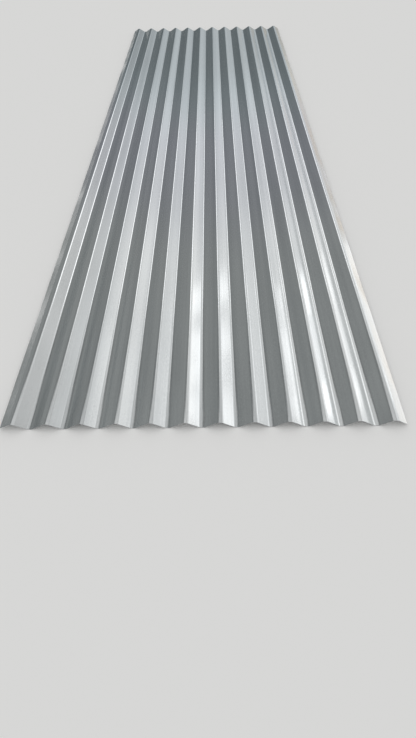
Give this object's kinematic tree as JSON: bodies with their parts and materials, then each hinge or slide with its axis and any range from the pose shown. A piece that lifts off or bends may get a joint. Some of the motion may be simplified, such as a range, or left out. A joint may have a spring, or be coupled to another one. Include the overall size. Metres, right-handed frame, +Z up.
{
  "type": "corrugated metal sheet",
  "caption": "Corrugated steel roofing and cladding sheet: one thin roll-formed strip with even waves running along its length and a falling lip on both long edges.",
  "frame": {"origin": "on the floor, under the middle of the sheet, level with the undersides of the troughs", "axes": "+Z up out of the weather face, +Y along the waves, +X across them"},
  "size_m": [0.8916, 3.048, 0.0185],
  "materials": {
    "coated_steel": "satin"
  },
  "bodies": {
    "root": {"corrugated_sheet": "coated_steel"}
  },
  "joints": []
}
